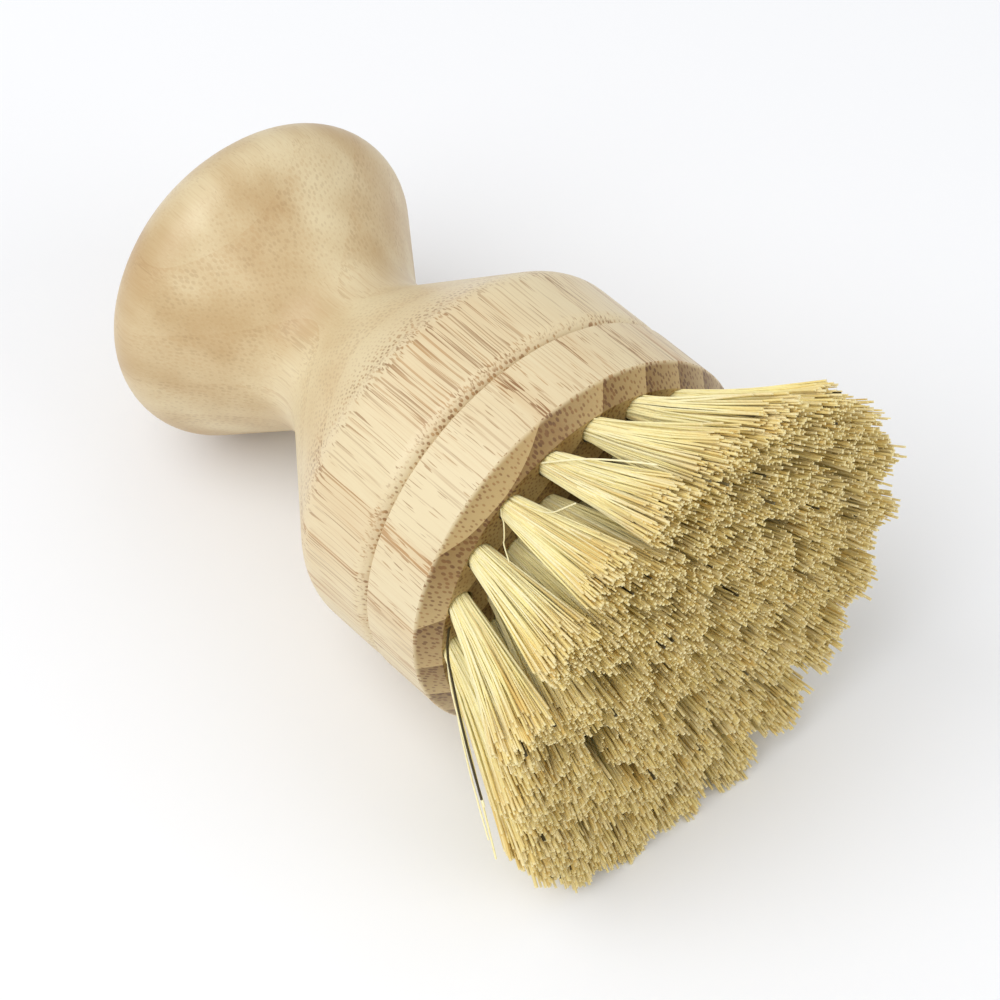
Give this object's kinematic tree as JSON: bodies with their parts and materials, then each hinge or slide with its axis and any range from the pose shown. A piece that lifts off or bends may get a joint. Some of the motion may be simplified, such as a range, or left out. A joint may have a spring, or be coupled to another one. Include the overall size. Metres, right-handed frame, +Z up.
{
  "type": "dish brush",
  "caption": "Short round dish brush with a turned bamboo knob handle and a flared head of stiff plant-fibre tufts, shown lying on its side.",
  "frame": {"origin": "under the middle of the brush's bounding box, on the surface that it lies on", "axes": "+Z up; +X the way the fibres point, so the brush's own axis lies along X and rises about five degrees towards the fibres; +Y across the brush"},
  "size_m": [0.1066, 0.069, 0.0653],
  "materials": {
    "bamboo_handle": "satin, side grain with fine brown streaks, end-grain dots on the knob's end",
    "bamboo_block": "satin, side grain on the edge, end-grain dots on the chamfer and face",
    "plant_fibre": "stiff straw-coloured strands with blunt cut ends",
    "anchor_wire": "plain flat wire"
  },
  "bodies": {
    "root": {"handle": "bamboo_handle", "bristle_block": "bamboo_block", "anchor_wires": "anchor_wire", "tuft_ring1_01": "plant_fibre", "tuft_ring1_02": "plant_fibre", "tuft_ring1_03": "plant_fibre", "tuft_ring1_04": "plant_fibre", "tuft_ring1_05": "plant_fibre", "tuft_ring1_06": "plant_fibre", "tuft_ring1_07": "plant_fibre", "tuft_ring1_08": "plant_fibre", "tuft_ring1_09": "plant_fibre", "tuft_ring1_10": "plant_fibre", "tuft_ring1_11": "plant_fibre", "tuft_ring1_12": "plant_fibre", "tuft_ring1_13": "plant_fibre", "tuft_ring1_14": "plant_fibre", "tuft_ring1_15": "plant_fibre", "tuft_ring1_16": "plant_fibre", "tuft_ring1_17": "plant_fibre", "tuft_ring1_18": "plant_fibre", "tuft_ring1_19": "plant_fibre", "tuft_ring1_20": "plant_fibre", "tuft_ring2_01": "plant_fibre", "tuft_ring2_02": "plant_fibre", "tuft_ring2_03": "plant_fibre", "tuft_ring2_04": "plant_fibre", "tuft_ring2_05": "plant_fibre", "tuft_ring2_06": "plant_fibre", "tuft_ring2_07": "plant_fibre", "tuft_ring2_08": "plant_fibre", "tuft_ring2_09": "plant_fibre", "tuft_ring2_10": "plant_fibre", "tuft_ring2_11": "plant_fibre", "tuft_ring2_12": "plant_fibre", "tuft_ring2_13": "plant_fibre", "tuft_ring2_14": "plant_fibre", "tuft_ring2_15": "plant_fibre", "tuft_ring2_16": "plant_fibre", "tuft_ring3_01": "plant_fibre", "tuft_ring3_02": "plant_fibre", "tuft_ring3_03": "plant_fibre", "tuft_ring3_04": "plant_fibre", "tuft_ring3_05": "plant_fibre", "tuft_ring3_06": "plant_fibre", "tuft_ring3_07": "plant_fibre", "tuft_ring3_08": "plant_fibre", "tuft_ring3_09": "plant_fibre", "tuft_ring3_10": "plant_fibre", "tuft_ring4_01": "plant_fibre", "tuft_ring4_02": "plant_fibre", "tuft_ring4_03": "plant_fibre", "tuft_ring4_04": "plant_fibre"}
  },
  "joints": []
}
